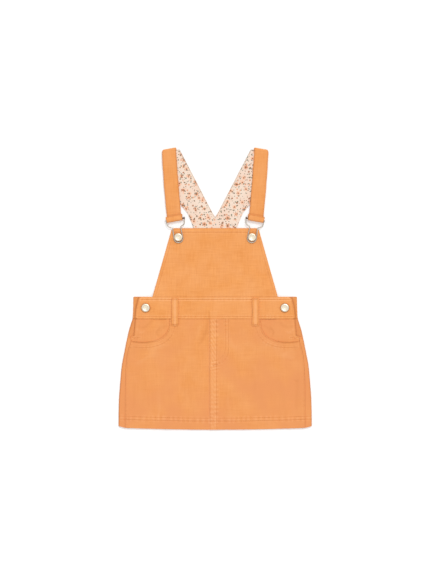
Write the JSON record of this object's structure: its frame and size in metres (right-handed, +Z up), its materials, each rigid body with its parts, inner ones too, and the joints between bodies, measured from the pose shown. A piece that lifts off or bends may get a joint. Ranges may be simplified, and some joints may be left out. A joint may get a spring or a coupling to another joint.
{
  "type": "child's overall skirt laid flat",
  "caption": "Child's twill overall skirt laid flat: bib, buckled shoulder straps, waistband with side buttons and belt loops, curved pockets, lapped front and straight hem.",
  "frame": {"origin": "centre of the laid garment's bounding box, on the surface it lies on", "axes": "+Y along the garment to the shoulders, +X to the right as seen from above its front, +Z up out of the front"},
  "size_m": [0.3378, 0.4937, 0.0085],
  "materials": {
    "twill": "apricot-orange brushed cotton twill",
    "lining_print": "cream cotton with a small scattered flower print",
    "buckle_wire": "nickel-plated steel wire",
    "tack_button": "pale satin nickel tack button"
  },
  "bodies": {
    "root": {"back_skirt": "twill", "back_waistband": "twill", "back_bib": "twill", "back_lining": "lining_print", "front_bib": "twill", "front_waistband": "twill", "front_skirt_left": "twill", "front_skirt_right": "twill", "pocket_facing_left": "twill", "pocket_facing_right": "twill", "belt_loop_left": "twill", "belt_loop_right": "twill", "strap_left": "twill", "strap_right": "twill", "buckle_left": "buckle_wire", "buckle_right": "buckle_wire", "bib_button_left": "tack_button", "bib_button_right": "tack_button", "side_button_left": "tack_button", "side_button_right": "tack_button"}
  },
  "joints": []
}
